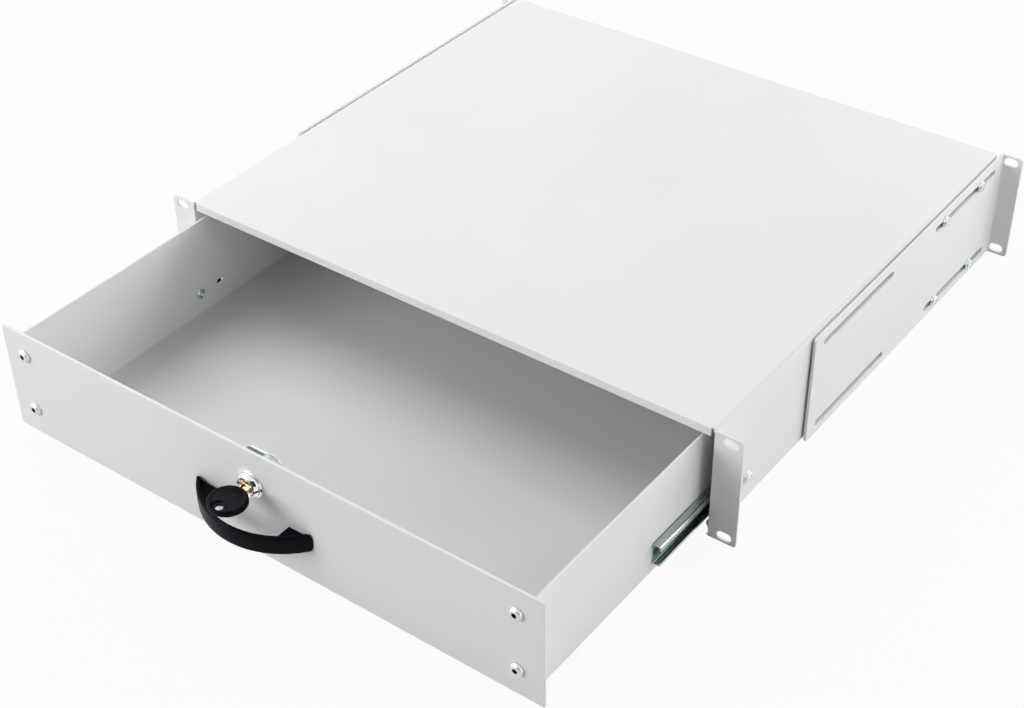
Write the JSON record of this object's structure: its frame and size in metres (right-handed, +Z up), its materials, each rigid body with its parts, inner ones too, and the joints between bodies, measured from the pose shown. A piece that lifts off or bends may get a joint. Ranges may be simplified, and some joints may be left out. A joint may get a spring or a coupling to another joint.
{
  "type": "sliding rack drawer",
  "caption": "Two-unit-high sliding drawer for a 19-inch rack, with ball slides, front panel, cam lock with key, bow handle and slotted rear brackets.",
  "frame": {"origin": "centre of the four front ear slots, on the ears' rear face, which lies on the rack's front posts", "axes": "+X to the right seen from the front, +Y into the rack, +Z up"},
  "size_m": [0.4826, 0.6172, 0.088],
  "materials": {
    "powder_grey": "fine-textured light grey powder coat, low sheen",
    "zinc_steel": "bright zinc plate",
    "bearing_steel": "polished bearing balls",
    "chrome": "bright chrome plate",
    "brass": "turned brass",
    "black_plastic": "black moulded plastic, satin"
  },
  "bodies": {
    "casing": {"casing_shell": "powder_grey", "lock_keeper": "powder_grey", "rail_left": "zinc_steel", "rail_right": "zinc_steel", "rail_screws": "zinc_steel", "rail_rivets": "zinc_steel", "bracket_screws": "zinc_steel", "bracket_spacers": "zinc_steel", "clinch_nuts": "zinc_steel"},
    "drawer": {"tray": "powder_grey", "front_panel": "powder_grey", "panel_screws": "zinc_steel", "panel_nuts": "zinc_steel", "handle": "black_plastic", "handle_screws": "zinc_steel", "channel_left": "zinc_steel", "channel_right": "zinc_steel", "channel_screws": "zinc_steel", "lock_barrel": "chrome", "lock_nut": "zinc_steel"},
    "lock_plug": {"lock_plug": "brass", "lock_cam": "zinc_steel", "cam_screw": "zinc_steel"},
    "key": {"key_blade": "zinc_steel", "key_bow": "black_plastic"},
    "cage_left": {"cage_left": "zinc_steel", "balls_left": "bearing_steel"},
    "cage_right": {"cage_right": "zinc_steel", "balls_right": "bearing_steel"},
    "bracket_left": {"bracket_left": "powder_grey"},
    "bracket_right": {"bracket_right": "powder_grey"}
  },
  "joints": [
    {"name": "drawer_slide", "type": "slide", "parent": "casing", "child": "drawer", "axis": [0, -1, 0], "range_m": [-0.1777, 0.08]},
    {"name": "cage_left_slide", "type": "slide", "parent": "casing", "child": "cage_left", "axis": [0, -1, 0], "range_m": [-0.08885, 0.04]},
    {"name": "cage_right_slide", "type": "slide", "parent": "casing", "child": "cage_right", "axis": [0, -1, 0], "range_m": [-0.08885, 0.04]},
    {"name": "lock_turn", "type": "hinge", "parent": "drawer", "child": "lock_plug", "pos_m": [0, -0.1716, 0.016], "axis": [0, 1, 0], "range_deg": [0, 90]},
    {"name": "key_draw", "type": "slide", "parent": "lock_plug", "child": "key", "axis": [0, -1, 0], "range_m": [0, 0.02]},
    {"name": "bracket_left_slide", "type": "slide", "parent": "casing", "child": "bracket_left", "axis": [0, 1, 0], "range_m": [-0.023, 0.0125]},
    {"name": "bracket_right_slide", "type": "slide", "parent": "casing", "child": "bracket_right", "axis": [0, 1, 0], "range_m": [-0.023, 0.0125]}
  ],
  "couplings": [
    {"joint": "cage_left_slide", "follows": "drawer_slide", "ratio": 0.5},
    {"joint": "cage_right_slide", "follows": "drawer_slide", "ratio": 0.5}
  ]
}
